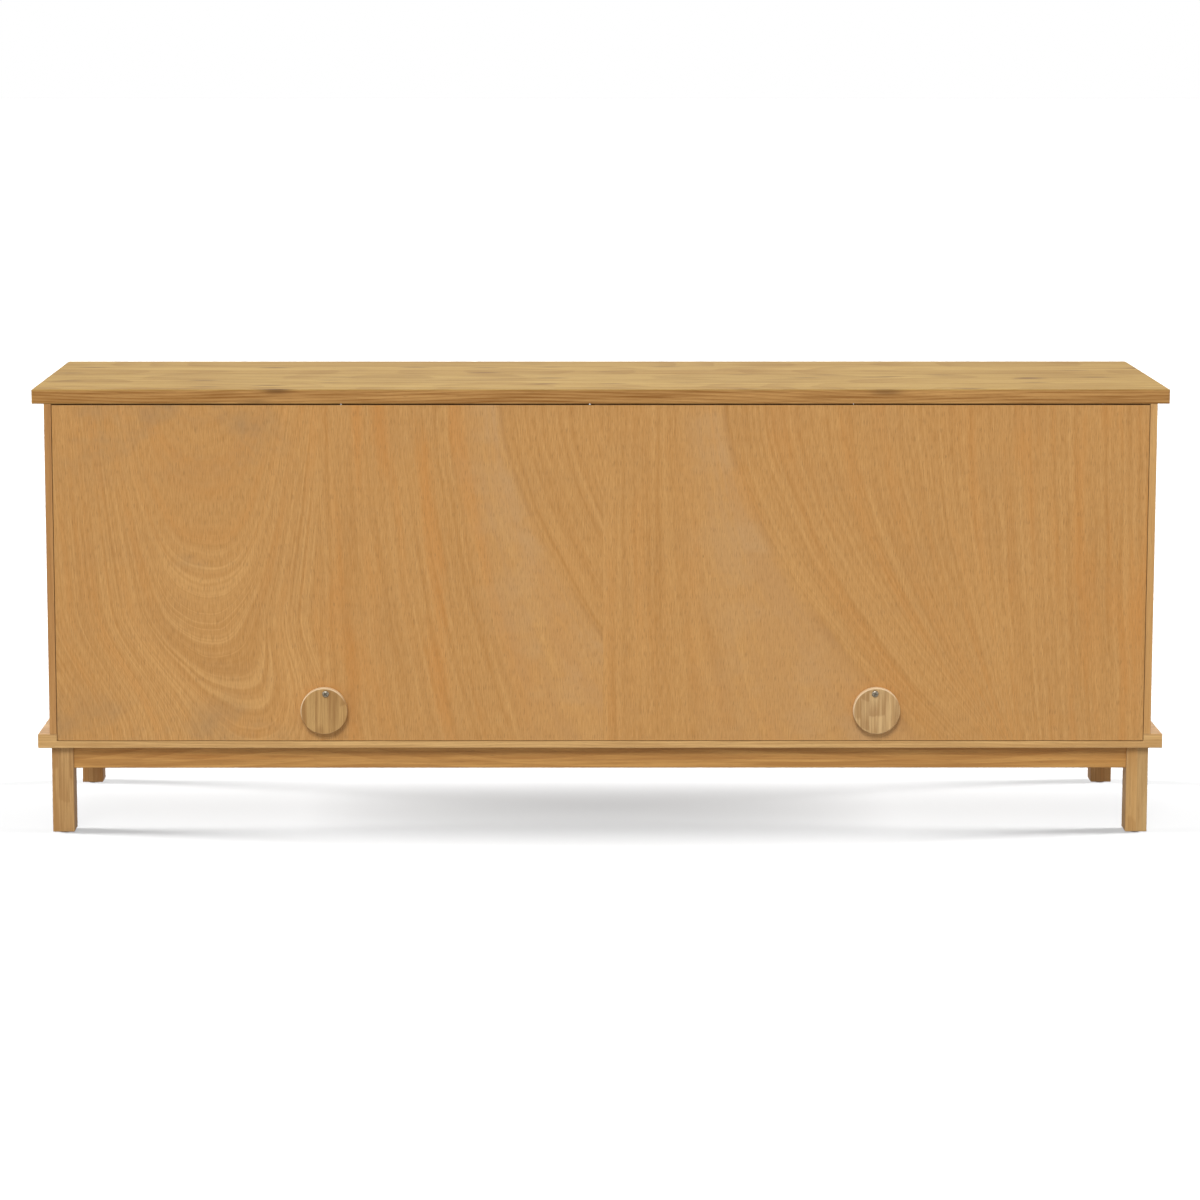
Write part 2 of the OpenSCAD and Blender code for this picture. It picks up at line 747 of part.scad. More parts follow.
top_board();
bottom_board();
side_panel(-1);  // side_panel_left
side_panel(1);  // side_panel_right
centre_divider();
back_panel();
shelf(-1);  // shelf_left
shelf(1);  // shelf_right
shelf_pins();
carcass_dowels();
back_brads();
cable_cover(-1);  // cable_cover_left
cable_cover(1);  // cable_cover_right
pivot_screw(-1);  // pivot_screw_left
pivot_screw(1);  // pivot_screw_right
leg(-1, -1);  // leg_front_left
leg(1, -1);  // leg_front_right
leg(-1, 1);  // leg_rear_left
leg(1, 1);  // leg_rear_right
long_rail(-1);  // rail_front
long_rail(1);  // rail_rear
end_rail(-1);  // rail_left
end_rail(1);  // rail_right
cross_rail();
corner_blocks();
frame_screws();
foot_glides();
carcass_hinge_leaves();
hinge_pins();
hinge_screws();
magnetic_catches();
for (d = DOORS) {
  door_stiles(d);
  door_rails(d);
  door_panel(d);
  door_knob(d);
  door_hinge_leaves(d);
  door_strike(d);
  door_screws(d);
}
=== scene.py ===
import bmesh
import bpy
import numpy as np
from mathutils import Euler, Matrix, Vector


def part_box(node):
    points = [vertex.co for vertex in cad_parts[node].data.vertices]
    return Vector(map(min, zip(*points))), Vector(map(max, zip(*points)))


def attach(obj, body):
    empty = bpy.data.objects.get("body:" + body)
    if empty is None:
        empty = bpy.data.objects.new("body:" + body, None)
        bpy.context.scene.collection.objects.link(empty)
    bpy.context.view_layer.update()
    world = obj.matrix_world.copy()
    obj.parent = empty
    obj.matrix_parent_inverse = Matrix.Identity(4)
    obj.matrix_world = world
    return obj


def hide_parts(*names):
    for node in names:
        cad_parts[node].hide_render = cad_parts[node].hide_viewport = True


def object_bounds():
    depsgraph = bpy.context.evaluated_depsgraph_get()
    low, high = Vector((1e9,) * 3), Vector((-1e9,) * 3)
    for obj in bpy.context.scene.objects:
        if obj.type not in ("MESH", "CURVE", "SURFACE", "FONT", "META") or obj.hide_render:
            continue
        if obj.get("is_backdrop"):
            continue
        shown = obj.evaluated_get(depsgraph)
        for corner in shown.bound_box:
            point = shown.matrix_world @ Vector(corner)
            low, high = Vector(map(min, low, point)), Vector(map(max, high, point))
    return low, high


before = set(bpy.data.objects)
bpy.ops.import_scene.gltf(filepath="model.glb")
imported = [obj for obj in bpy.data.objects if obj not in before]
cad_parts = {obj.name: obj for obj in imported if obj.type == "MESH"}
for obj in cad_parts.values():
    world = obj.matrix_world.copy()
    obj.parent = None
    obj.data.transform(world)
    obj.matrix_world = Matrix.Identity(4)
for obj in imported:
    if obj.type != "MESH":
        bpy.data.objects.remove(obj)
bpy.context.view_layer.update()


# ---------- legs ----------
# Four square legs of glued pale hardwood, grain upright, edges just eased.
# The rails are tenoned into them, and a matt clear lacquer seals the wood.

class Tone:
    """A shader socket that can be calculated with: each operator adds one Math node to its tree."""

    def __init__(self, tree, socket):
        self.tree = tree
        self.socket = socket

    def add(self, kind, settings=(), inputs=(), output=0):
        """Adds a node of that kind, applies its settings, fills its sockets with values or links, and
        returns one of its outputs."""
        node = self.tree.nodes.new("ShaderNode" + kind)
        for key, value in dict(settings).items():
            setattr(node, key, value)
        for key, value in dict(inputs).items():
            if isinstance(value, Tone):
                self.tree.links.new(value.socket, node.inputs[key])
            else:
                node.inputs[key].default_value = value
        return Tone(self.tree, node.outputs[output])

    def math(self, operation, *values):
        return self.add("Math", {"operation": operation}, enumerate(values))

    def __add__(self, other):
        return self.math("ADD", self, other)

    def __sub__(self, other):
        return self.math("SUBTRACT", self, other)

    def __rsub__(self, other):
        return self.math("SUBTRACT", other, self)

    def __mul__(self, other):
        return self.math("MULTIPLY", self, other)

    def __truediv__(self, other):
        return self.math("DIVIDE", self, other)

    def __pow__(self, other):
        return self.math("POWER", self, other)

    __radd__ = __add__
    __rmul__ = __mul__

    def floor(self):
        return self.math("FLOOR", self)

    def fract(self):
        return self.math("FRACT", self)

    def abs(self):
        return self.math("ABSOLUTE", self)

    def min(self, other):
        return self.math("MINIMUM", self, other)

    def max(self, other):
        return self.math("MAXIMUM", self, other)

    def rise(self, start, end):
        """0 below start, 1 above end, and an S-curve between; start above end turns it round."""
        span = {"Value": self, "From Min": start, "From Max": end, "To Min": 0.0, "To Max": 1.0}
        if start > end:
            span.update({"From Min": end, "From Max": start, "To Min": 1.0, "To Max": 0.0})
        return self.add("MapRange", {"interpolation_type": "SMOOTHSTEP"}, span)

    def split(self):
        """The three parts of a point or a colour."""
        node = self.add("SeparateXYZ", (), {0: self})
        return [Tone(self.tree, socket) for socket in node.socket.node.outputs]

    def point(self, *parts):
        return self.add("CombineXYZ", (), enumerate(parts))

    def noise(self, place, detail=2.0, roughness=0.5):
        """Smooth noise from 0 to 1 at the point given, about one bump to a unit."""
        inputs = {"Vector": place, "Scale": 1.0, "Detail": detail, "Roughness": roughness}
        return self.add("TexNoise", {"noise_dimensions": "3D"}, inputs)

    def between(self, first, second):
        """The colour that lies this share of the way from the first colour to the second."""
        return self.add("Mix", {"data_type": "RGBA"}, {0: self, 6: first, 7: second}, output=2)

    def tint(self, other, share):
        """This colour with a share of the other colour mixed in."""
        return self.add("Mix", {"data_type": "RGBA"}, {0: share, 6: self, 7: other}, output=2)


def start_material(name):
    """A new material, its shader node, and the point being shaded in the object's own metres."""
    material = bpy.data.materials.new(name)
    material.use_nodes = True
    tree = material.node_tree
    place = Tone(tree, tree.nodes.new("ShaderNodeTexCoord").outputs["Object"])
    return material, tree.nodes["Principled BSDF"], place


def finish_material(shader, colour, rough, height, depth, shine):
    """Joins the worked-out colour, roughness and surface height to the shader. depth is how tall the
    surface detail is, in metres."""
    links = colour.tree.links
    links.new(colour.socket, shader.inputs["Base Color"])
    links.new(rough.socket, shader.inputs["Roughness"])
    bump = colour.add("Bump", (), {"Strength": 0.35, "Distance": depth, "Height": height})
    links.new(bump.socket, shader.inputs["Normal"])
    shader.inputs["Specular IOR Level"].default_value = shine


def dress(nodes, material):
    """Gives CAD nodes this material in every slot."""
    for name in nodes:
        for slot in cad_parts[name].material_slots:
            slot.material = material


def nearest_arris(parts, box):
    """Distance from a point on a box to the nearest edge line: the middle one of its three distances to
    the box's pairs of faces, because on a face the smallest of them is nothing."""
    low, high = box
    a, b, c = (
        (part - low[i]).min(high[i] - part) for i, part in enumerate(parts)
    )
    return a.min(b).max(a.max(b).min(c))


def wood(name, axes, box, tone, spread=0.16, stave=0.035, pith=0.05, pitch=0.0045, rings=0.5, streaks=0.9,
         lots=0.5, flecks=0.0, skirt=None, rim=None, red=0.15, seed=0.0, gloss=0.5, shine=0.3):
    """Solid timber cut from glued staves. axes names the directions along, across and into the board,
    tone is its middle colour, and spread is how far its palest and darkest grain lie from that. stave is
    the width of a stave, pith the depth of its pith line and pitch the width of a growth ring, in metres.
    rings, streaks, lots and red say how strongly rings, streaks, the change from stave to stave and
    rusty patches show. gloss is the roughness, shine the specular level, and seed picks the log.

    A growth ring is a distance from the stave's pith line, which lies below the face and wanders slowly
    along the grain, so faces show long curves and ends show arcs. Fibres, streaks and pores are noise
    drawn out along the grain. Each stave has its own pith and shade. Arrises are a little duller from wear,
    and paler, partly from wear and partly as a painted highlight where an eased edge catches the light.
    flecks is the share of cells that hold a small dark pin knot, and skirt is the colour of the faces below
    the top one. rim is the middle and radius of a turned edge, whose upper half is painted pale as a
    highlight."""
    material, shader, place = start_material(name)
    parts = place.split()
    along, across, depth = (parts["XYZ".index(axis)] for axis in axes)

    number = (across / stave + seed).floor()
    lot = place.add("TexWhiteNoise", {"noise_dimensions": "1D"}, {"W": number + seed}, output=1)
    luck = lot.split()
    shift = luck[0] * 20.0 + seed
    side = across - (number + 0.5 - seed) * stave + (luck[1] - 0.5) * stave
    wander = place.noise(place.point(along * 1.7, shift, depth * 4.0), 1.0) - 0.5
    below = depth + pith * (0.6 + luck[2]) + wander * 0.05
    ragged = place.noise(place.point(along * 3.0, side * 22.0, shift + below * 22.0), 2.0) - 0.5
    ring = ((side * side + below * below) ** 0.5 / pitch + ragged * 0.4).fract()
    # a ring darkens slowly to its late wood and ends in a short soft edge
    late = ring.rise(0.15, 0.95) * ring.rise(1.0, 0.93)
    # end grain shows less of the fibres
    end_low, end_high = (corner["XYZ".index(axes[0])] for corner in box)
    long_grain = 0.4 + 0.6 * (along - end_low).min(end_high - along).rise(0.0004, 0.003)

    # the factors are bumps to a metre, along the grain and across it
    fibre = place.noise(place.point(along * 14.0, across * 420.0, depth * 420.0 + shift), 2.0)
    pore = place.noise(place.point(along * 60.0, across * 1700.0, depth * 1700.0 + shift), 1.0)
    sway = wander * 1.6
    streak = place.noise(place.point(along * 3.0, across * 130.0 + sway, depth * 130.0 + shift + sway), 2.0)
    cloud = place.noise(place.point(along * 2.5, across * 24.0, depth * 24.0 + shift), 2.0)
    figure = (late - 0.25) * rings * (0.3 + 1.2 * cloud) + (luck[1] - 0.5) * lots
    figure = figure + ((fibre - 0.5) + (streak - 0.5) * 1.3) * long_grain * streaks + (cloud - 0.5) * 0.5

    def shades(middle, reach):
        """From pale to dark round the middle colour. Blue changes most and red least."""
        pale = [middle[i] * (1 + reach * (0.9, 1.2, 1.5)[i]) for i in range(3)]
        dark = [middle[i] * (1 - reach * (1.0, 1.3, 1.6)[i]) for i in range(3)]
        return (figure + 0.5).between((*pale, 1), (*dark, 1))

    colour = shades(tone, spread)
    if skirt:
        colour = colour.tint(shades(skirt, 0.4), (box[1][2] - parts[2]).rise(0.0004, 0.0022))
    rust = (tone[0] * 1.04, tone[1] * 0.8, tone[2] * 0.5, 1)
    colour = colour.tint(rust, (cloud.rise(0.5, 0.75) + (luck[0] - 0.3) * 0.8).max(0.0) * red)
    colour = colour.tint((0.16, 0.075, 0.03, 1), pore.rise(0.6, 0.78) * 0.4)

    if flecks:
        spot = place.point(along * 9.0, across * 38.0 + sway, depth * 38.0 + seed)
        cells = place.add("TexVoronoi", {"feature": "F1"}, {"Vector": spot, "Scale": 1.0}, output=0)
        chance = Tone(place.tree, cells.socket.node.outputs["Color"]).split()
        knot = cells.rise(0.36, 0.05) * chance[0].rise(1.0 - flecks, 1.02 - flecks)
        colour = colour.tint((0.15, 0.07, 0.025, 1), knot * (0.4 + 0.6 * chance[1]))

    arris = nearest_arris(parts, box)
    # paler along the arrises: partly wear, partly a painted highlight where the eased edges would catch the
    # light; the wear also makes them duller
    wear_and_edge_highlight = arris.rise(0.0035, 0.0005) * cloud.rise(0.3, 0.7)
    colour = colour.tint((tone[0] * 1.2, tone[1] * 1.22, tone[2] * 1.3, 1), wear_and_edge_highlight * 0.35)
    colour = colour.tint((0.2, 0.1, 0.04, 1), arris.rise(0.0018, 0.0002) * 0.25)

    if rim:
        rim_x, rim_z, rim_r = rim
        off_x, off_z = parts[0] - rim_x, parts[2] - rim_z
        # painted highlight: the upper half of the turned rim is painted pale, as if it caught the light from
        # above
        painted_rim_highlight = ((off_x * off_x + off_z * off_z) ** 0.5).rise(rim_r - 0.0022, rim_r - 0.0006)
        painted_rim_highlight = painted_rim_highlight * (off_z * 0.9 + off_x * 0.4).rise(-0.004, 0.02)
        colour = colour.tint((0.86, 0.66, 0.42, 1), painted_rim_highlight * (0.6 + 0.3 * cloud))

    rough = gloss + 0.16 * (fibre - 0.5) + 0.1 * wear_and_edge_highlight + 0.12 * pore.rise(0.6, 0.8)
    height = fibre * 0.35 - pore.rise(0.6, 0.8) * 0.6 - late * 0.25
    finish_material(shader, colour, rough, height, 0.0004, shine)
    return material


for end in ("front", "rear"):
    for hand in ("left", "right"):
        leg = f"leg_{end}_{hand}"
        leg_seed = 3.3 + 4.0 * (end == "rear") + (hand == "right")
        # the front legs get a darker tone than the rear ones: painted shade, for seen from behind they stand
        # in the shade under the cabinet
        leg_tone = (0.45, 0.24, 0.085)
        if end == "rear":
            leg_tone = (0.53, 0.33, 0.135) if hand == "left" else (0.53, 0.305, 0.115)
        leg_wood = wood(leg + "_wood", "ZXY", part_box(leg), leg_tone, stave=0.0175, seed=leg_seed,
                        spread=0.2, streaks=1.5, rings=0.45, red=0.5, lots=0.7)
        dress([leg], leg_wood)


# ---------- rails and corner blocks ----------
# Long rails front and rear, end rails and one cross rail, ripped from darker flat-sawn boards.
# They are tenoned and glued into the legs, with screwed triangular blocks in the corners.

for rail, axes in (("rail_front", "XZY"), ("rail_rear", "XZY"), ("rail_left", "YZX"),
                   ("rail_right", "YZX"), ("cross_rail", "YZX")):
    rail_wood = wood(rail + "_wood", axes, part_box(rail), (0.525, 0.265, 0.074), stave=0.2,
                     seed=float(len(rail)) + 0.4, pitch=0.006, rings=0.6, streaks=1.8, red=0.3)
    dress([rail], rail_wood)
dress(["corner_blocks"], wood("block_wood", "XYZ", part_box("corner_blocks"), (0.52, 0.35, 0.16),
                              stave=0.06, seed=2.2))


# ---------- screws under the base ----------
# Countersunk wood screws of bright-plated steel, drawn from wire, so their coat is faintly mottled.

MARK_DEPTH = 0.00006


def small_part(name, tone, metallic, rough, dull):
    """Plated metal or moulded plastic: a mottled surface with fine marks, and duller rubbed patches in
    the colour dull."""
    material, shader, place = start_material(name)
    x, y, z = place.split()
    mottle = place.noise(place.point(x * 260.0, y * 260.0, z * 260.0), 3.0, 0.6)
    marks = place.noise(place.point(x * 2600.0, y * 2600.0, z * 500.0), 1.0)
    rubbed = place.noise(place.point(x * 90.0, y * 90.0, z * 90.0 + 4.0), 3.0).rise(0.48, 0.7)
    colour = mottle.between((*[part * 0.82 for part in tone], 1), (*[part * 1.16 for part in tone], 1))
    colour = colour.tint((*dull, 1), rubbed * 0.45)
    shader.inputs["Metallic"].default_value = metallic
    roughness = rough + (mottle - 0.5) * 0.2 + rubbed * 0.12 + (marks - 0.5) * 0.1
    finish_material(shader, colour, roughness, mottle * 0.6 + marks * 0.4, MARK_DEPTH, 0.5)
    return material


zinc = small_part("plated_steel", (0.52, 0.49, 0.44), 1.0, 0.38, (0.24, 0.22, 0.19))
dress(["frame_screws"], zinc)


# ---------- foot glides ----------
# Black moulded plastic glides, one nailed under each leg, scuffed where they slide.

glide_plastic = small_part("glide_plastic", (0.08, 0.075, 0.07), 0.0, 0.55, (0.16, 0.155, 0.15))
dress(["foot_glides"], glide_plastic)


# ---------- carcass boards ----------
# Bottom, sides and divider: solid boards glued up from wide staves and joined with beech dowels.

bottom_wood = wood("bottom_wood", "XYZ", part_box("bottom_board"), (0.62, 0.375, 0.145), stave=0.07, seed=1.7,
                   rings=0.5, streaks=1.5, red=0.1)
dress(["bottom_board"], bottom_wood)
for board in ("side_panel_left", "side_panel_right", "centre_divider"):
    side_tone = (0.49, 0.25, 0.083) if board == "side_panel_right" else (0.59, 0.33, 0.117)
    side_wood = wood(board + "_wood", "ZYX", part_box(board), side_tone, stave=0.07, pitch=0.0019,
                     rings=0.3, streaks=1.2, seed=float(len(board)) + 0.9)
    dress([board], side_wood)
dress(["carcass_dowels"], wood("dowel_wood", "ZXY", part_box("carcass_dowels"), (0.62, 0.45, 0.27),
                               stave=0.3, seed=5.1))


# ---------- top board ----------
# One wide top of the palest strips, glued edge to edge, with small pin knots.
# Its sawn edges took the lacquer darker than its face.

top_wood = wood("top_wood", "XYZ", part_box("top_board"), (0.437, 0.268, 0.078), spread=0.21, stave=0.062,
                pith=0.07, pitch=0.005, rings=0.35, streaks=1.2, flecks=0.42, red=0.1, seed=7.2,
                gloss=0.6, shine=0.05, skirt=(0.405, 0.203, 0.065))
dress(["top_board"], top_wood)


# ---------- shelves ----------
# One loose veneered shelf in each bay, lying on four plated steel pins that push into holes in the
# uprights on either side of it.

for hand in ("left", "right"):
    shelf = f"shelf_{hand}"
    shelf_wood = wood(shelf + "_veneer", "XYZ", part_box(shelf), (0.56, 0.34, 0.14), stave=0.3, pitch=0.007,
                      rings=0.4, seed=6.0 + len(hand))
    dress([shelf], shelf_wood)
dress(["shelf_pins"], zinc)


# ---------- back panel ----------
# Thin plywood let into a rabbet all round and held with brads. Its face is rotary-cut veneer in three
# sheets, edge to edge, with one flame of nested loops, and two slanting pale bands where the same part
# of the log came round again.

PLIES = 5


def veneer(name, box):
    """Rotary-cut veneer. x runs from the viewer's left as one looks at the back, z up from the panel's
    lower edge, both in metres. Grain lines start upright at the top edge and lean further over the lower
    they get. On the first sheet they are loops instead: a loop's height above its lowest point grows as
    the 2.7th power of the distance from the loops' middle line."""
    material, shader, place = start_material(name)
    low, high = box
    parts = place.split()
    x = high[0] - parts[0]
    z = parts[2] - low[2]
    tall = high[2] - low[2]
    joints = (0.4216, 0.873)
    # how far a grain line has leaned over at this height
    drop = ((tall - z) / 0.45).max(0.0) ** 1.6
    second = x.math("GREATER_THAN", x, joints[0])
    third = x.math("GREATER_THAN", x, joints[1])
    first = 1 - second
    sheet = second + third * 3.0

    def top_of(lines):
        """Where the grain line through the point starts at the top edge. lines holds places along the
        top and how far a line from there has wandered sideways one drop lower, and between them the
        wander changes evenly."""
        (place_0, wander_0), rest = lines[0], lines[1:]
        start, reached = place_0, place_0 + drop * wander_0
        for place_1, wander_1 in rest:
            end = place_1 + drop * wander_1
            share = ((x - reached) / (end - reached)).max(0.0).min(1.0)
            start = share * (place_1 - place_0) + start
            place_0, reached = place_1, end
        return start

    start = (
        top_of([(0.4, 0.0), (0.53, 0.065), (0.66, 0.085), (0.705, 0.22), (0.9, 0.22)]) * (1 - third)
        + top_of([(0.85, 0.0), (0.96, 0.01), (1.03, 0.095), (1.062, 0.24), (1.2, 0.22), (1.5, 0.03),
                  (1.8, 0.0)]) * third
    )

    wobble = place.noise(place.point(x * 22.0, sheet, z * 7.0), 3.0) - 0.5
    sway = place.noise(place.point(x * 8.0, 3.0, z * 6.0), 2.0) - 0.5
    middle = 0.24 + z.rise(0.22, 0.0) * 0.075
    loop = (x - middle).abs() ** 2.7 * 71.0 - z + sway * 0.035 + wobble * 0.008
    # loops crowd together towards the lower edge: their spacing grows with their height
    height = (loop + 0.6).max(0.01) / 0.22 + 1
    grain = first * height.math("LOGARITHM", height, np.e) * 32.0 + second * (start * 110.0 + wobble * 1.5)
    # the plain patch in the heart of the loops
    calm = z.rise(0.27, 0.36) * (x - 0.235).abs().rise(0.12, 0.06) * first

    fibre = place.noise(place.point(x * 640.0, sheet, z * 44.0), 3.0, 0.6)
    pore = place.noise(place.point(x * 950.0, sheet, z * 75.0), 1.0)
    streak = place.noise(place.point(grain, sheet, z * 2.2), 4.0, 0.62)
    patch = place.noise(place.point(grain * 0.26, sheet + 9.0, z * 3.0), 2.0)
    smoke = place.noise(place.point(x * 9.0, 5.0, z * 11.0), 4.0, 0.6)
    edge = place.noise(place.point(grain * 0.9, sheet + 4.0, z * 1.2), 1.0)
    thread = (edge - 0.5).abs().rise(0.05, 0.005) * first * (1 - calm) * x.rise(0.04, 0.12)

    figure = (fibre - 0.5) * 1.6 + (streak - 0.5) * (1.45 - calm) - thread * 0.27
    base = (0.5 + figure).between((0.635, 0.347, 0.118, 1), (0.447, 0.205, 0.051, 1))
    warm = 0.16 + 0.22 * (x.rise(0.4, 0.5) * x.rise(0.74, 0.62)) + 0.2 * x.rise(1.4, 1.7)
    colour = base.tint((0.61, 0.24, 0.045, 1), patch.rise(0.46, 0.7) * warm)
    # the two slanting pale bands, and the dark line along the steep side of each
    band = start.rise(0.61, 0.7) * start.rise(0.716, 0.7) * (second - third)
    band = band + start.rise(0.97, 1.055) * start.rise(1.07, 1.054) * third
    patchy = streak.rise(0.3, 0.7) * 0.36 + smoke.rise(0.45, 0.65) * 0.28
    colour = colour.tint((0.6, 0.36, 0.16, 1), band * patchy)
    line = (start - 0.709).abs().rise(0.006, 0.001) * (second - third)
    line = line + (start - 1.063).abs().rise(0.006, 0.001) * third
    colour = colour.tint((0.34, 0.15, 0.04, 1), line * smoke.rise(0.35, 0.6) * 0.25)
    # faint grey smudges, most of them near the upper and lower edges of the first sheet
    soot = x.rise(0.44, 0.3) * (z.rise(0.4, 0.5) * 0.7 + z.rise(0.1, 0.02) * 0.6) + 0.12
    soot = soot + (x - 0.25).abs().rise(0.07, 0.02) * (z - 0.292).abs().rise(0.02, 0.004) * 0.8
    colour = colour.tint((0.36, 0.22, 0.1, 1), smoke.rise(0.42, 0.7) * soot * 0.75)
    colour = colour.tint((0.24, 0.11, 0.035, 1), pore.rise(0.55, 0.7) * 0.36)
    # a few pin-sized dark specks
    spot = place.point(x * 26.0, 1.0, z * 11.0)
    cells = place.add("TexVoronoi", {"feature": "F1"}, {"Vector": spot, "Scale": 1.0}, output=0)
    chance = Tone(place.tree, cells.socket.node.outputs["Color"]).split()[0]
    colour = colour.tint((0.14, 0.06, 0.02, 1), cells.rise(0.05, 0.02) * chance.rise(0.78, 0.8) * 0.7)

    # the plies that show in the cable holes
    inside = (parts[1] - low[1]).min(high[1] - parts[1]).rise(0.0005, 0.0008)
    ply = ((parts[1] - low[1]) / (high[1] - low[1]) * PLIES).floor() * 0.5
    layer = (ply.fract() * 2.0).between((0.5, 0.3, 0.13, 1), (0.3, 0.14, 0.05, 1))
    colour = colour.tint(layer, inside * 0.8)

    rough = 0.52 + 0.15 * (fibre - 0.5) + 0.1 * pore.rise(0.6, 0.8)
    finish_material(shader, colour, rough, fibre * 0.35 - pore.rise(0.6, 0.8) * 0.5, 0.0004, 0.3)
    return material


dress(["back_panel"], veneer("back_veneer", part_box("back_panel")))
dress(["back_brads"], zinc)


# ---------- cable covers ----------
# Two discs cut from the same glued staves, grain upright and rims eased. Each hangs from one screw near
# its upper edge, so that it swings aside from the cable hole.

def skin(name, rings, joined):
    """A closed skin over rings of points, one row of the grid to a ring. joined carries the last ring on
    to the first; otherwise both ends are closed with a fan to the ring's middle. Arrises sharper than
    35 degrees stay sharp."""
    count, around, _ = rings.shape
    points = rings.reshape(-1, 3)
    index = np.arange(count * around).reshape(count, around)
    near, far = (index, np.roll(index, -1, 0)) if joined else (index[:-1], index[1:])
    faces = np.stack([near, np.roll(near, -1, 1), np.roll(far, -1, 1), far], -1).reshape(-1, 4).tolist()
    if not joined:
        points = np.vstack([points, rings[0].mean(0), rings[-1].mean(0)])
        for ring, pole in ((index[0], count * around), (index[-1], count * around + 1)):
            faces += np.stack([ring, np.roll(ring, -1), np.full(around, pole)], -1).tolist()
    mesh = bpy.data.meshes.new(name)
    mesh.from_pydata(points.tolist(), [], faces)
    work = bmesh.new()
    work.from_mesh(mesh)
    bmesh.ops.recalc_face_normals(work, faces=work.faces[:])
    work.to_mesh(mesh)
    work.free()
    mesh.shade_smooth()
    mesh.set_sharp_from_angle(angle=np.radians(35))
    piece = bpy.data.objects.new(name, mesh)
    bpy.context.scene.collection.objects.link(piece)
    return piece


def rings_on_y(profile, around):
    """Rings round lines along Y. Each row of the profile is x and z of the ring's middle, its radius and
    its y, all in metres."""
    x, z, radius, y = (column[:, None] for column in np.array(profile, float).T)
    turn = np.linspace(0, 2 * np.pi, around, endpoint=False)[None, :]
    return np.stack([x + radius * np.cos(turn), y + 0 * turn, z + radius * np.sin(turn)], -1)


RIM, COVER_BORE = 0.0016, 0.0026
for hand in ("left", "right"):
    cover = f"cable_cover_{hand}"
    low, high = (np.array(corner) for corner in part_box(cover))
    pivot_low, pivot_high = (np.array(corner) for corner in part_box(f"pivot_screw_{hand}"))
    disc = ((low + high) / 2)[[0, 2]]
    hole = ((pivot_low + pivot_high) / 2)[[0, 2]]
    radius = (high[0] - low[0]) / 2
    face, foot = high[1], low[1]
    curve = np.linspace(0, np.pi / 2, 7)
    profile = [(*hole, COVER_BORE, face - 0.0004), (*hole, COVER_BORE + 0.0004, face),
               (*hole, COVER_BORE + 0.0009, face), (*disc, radius - RIM - 0.0004, face)]
    profile += [(*disc, radius - RIM + RIM * np.sin(a), face - RIM + RIM * np.cos(a)) for a in curve]
    profile += [(*disc, radius - RIM + RIM * np.cos(a), foot + RIM - RIM * np.sin(a)) for a in curve]
    profile += [(*disc, radius - RIM - 0.0004, foot), (*hole, COVER_BORE + 0.0009, foot),
                (*hole, COVER_BORE + 0.0004, foot), (*hole, COVER_BORE, foot + 0.0004)]
    piece = skin(f"turned_cover_{hand}", rings_on_y(profile, 96), joined=True)
    tone = (0.465, 0.265, 0.093) if hand == "right" else (0.54, 0.34, 0.15)
    cover_wood = wood(f"cover_wood_{hand}", "ZXY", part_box(cover), tone, spread=0.24, stave=0.013,
                      pitch=0.003, rings=0.5, streaks=1.6, red=0.15, lots=0.3, seed=2.0 + len(hand),
                      rim=(*disc, radius))
    piece.data.materials.append(cover_wood)
    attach(piece, cover)
    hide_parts(cover)


# ---------- pivot screws ----------
# A pan-head screw through each cover into the back panel, left loose enough for the cover to turn.

pan_steel = small_part("pan_steel", (0.4, 0.35, 0.27), 1.0, 0.42, (0.2, 0.16, 0.11))
HEAD_R, HEAD_H, SHANK_R = 0.0055, 0.0034, 0.0025
CROSS_L, CROSS_W, CROSS_DEPTH = 0.0031, 0.0006, 0.0019
for hand in ("left", "right"):
    node = f"pivot_screw_{hand}"
    low, high = (np.array(corner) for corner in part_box(node))
    middle = (low + high) / 2
    around = 96
    turn = np.linspace(0, 2 * np.pi, around, endpoint=False)[None, :]
    out = (HEAD_R * np.sin(np.linspace(0.02, np.pi / 2, 26)))[:, None]
    across, up = out * np.cos(turn), out * np.sin(turn)
    # dome: height and radius to the power 2.6 add up to a constant; the cross is cut into it
    dome = HEAD_H * np.clip(1 - (out / HEAD_R) ** 2.6, 0, 1) ** (1 / 2.6)
    # the two crosses stand at different angles, as a driver leaves them
    tilt = 0.35 if hand == "left" else 1.0
    u, v = across * np.cos(tilt) + up * np.sin(tilt), up * np.cos(tilt) - across * np.sin(tilt)
    thin = [np.clip(1.5 - np.abs(way) / CROSS_W, 0, 1) for way in (u, v)]
    long = [np.clip((CROSS_L - np.abs(way)) / CROSS_W, 0, 1) for way in (v, u)]
    arm = np.maximum(thin[0] * long[0], thin[1] * long[1])
    lift = dome - arm * CROSS_DEPTH
    head_rings = np.stack([middle[0] + across, high[1] - HEAD_H + lift, middle[2] + up], -1)
    seat = high[1] - HEAD_H
    profile = [(middle[0], middle[2], SHANK_R, seat), (middle[0], middle[2], SHANK_R, low[1] + 0.0008),
               (middle[0], middle[2], SHANK_R * 0.7, low[1])]
    piece = skin(f"pan_screw_{hand}", np.concatenate([head_rings, rings_on_y(profile, around)]), False)
    piece.data.materials.append(pan_steel)
    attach(piece, "carcass")
    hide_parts(node)


# ---------- doors ----------
# Four framed doors: upright stiles, rails tongued between them, and a loose veneered panel in the groove.

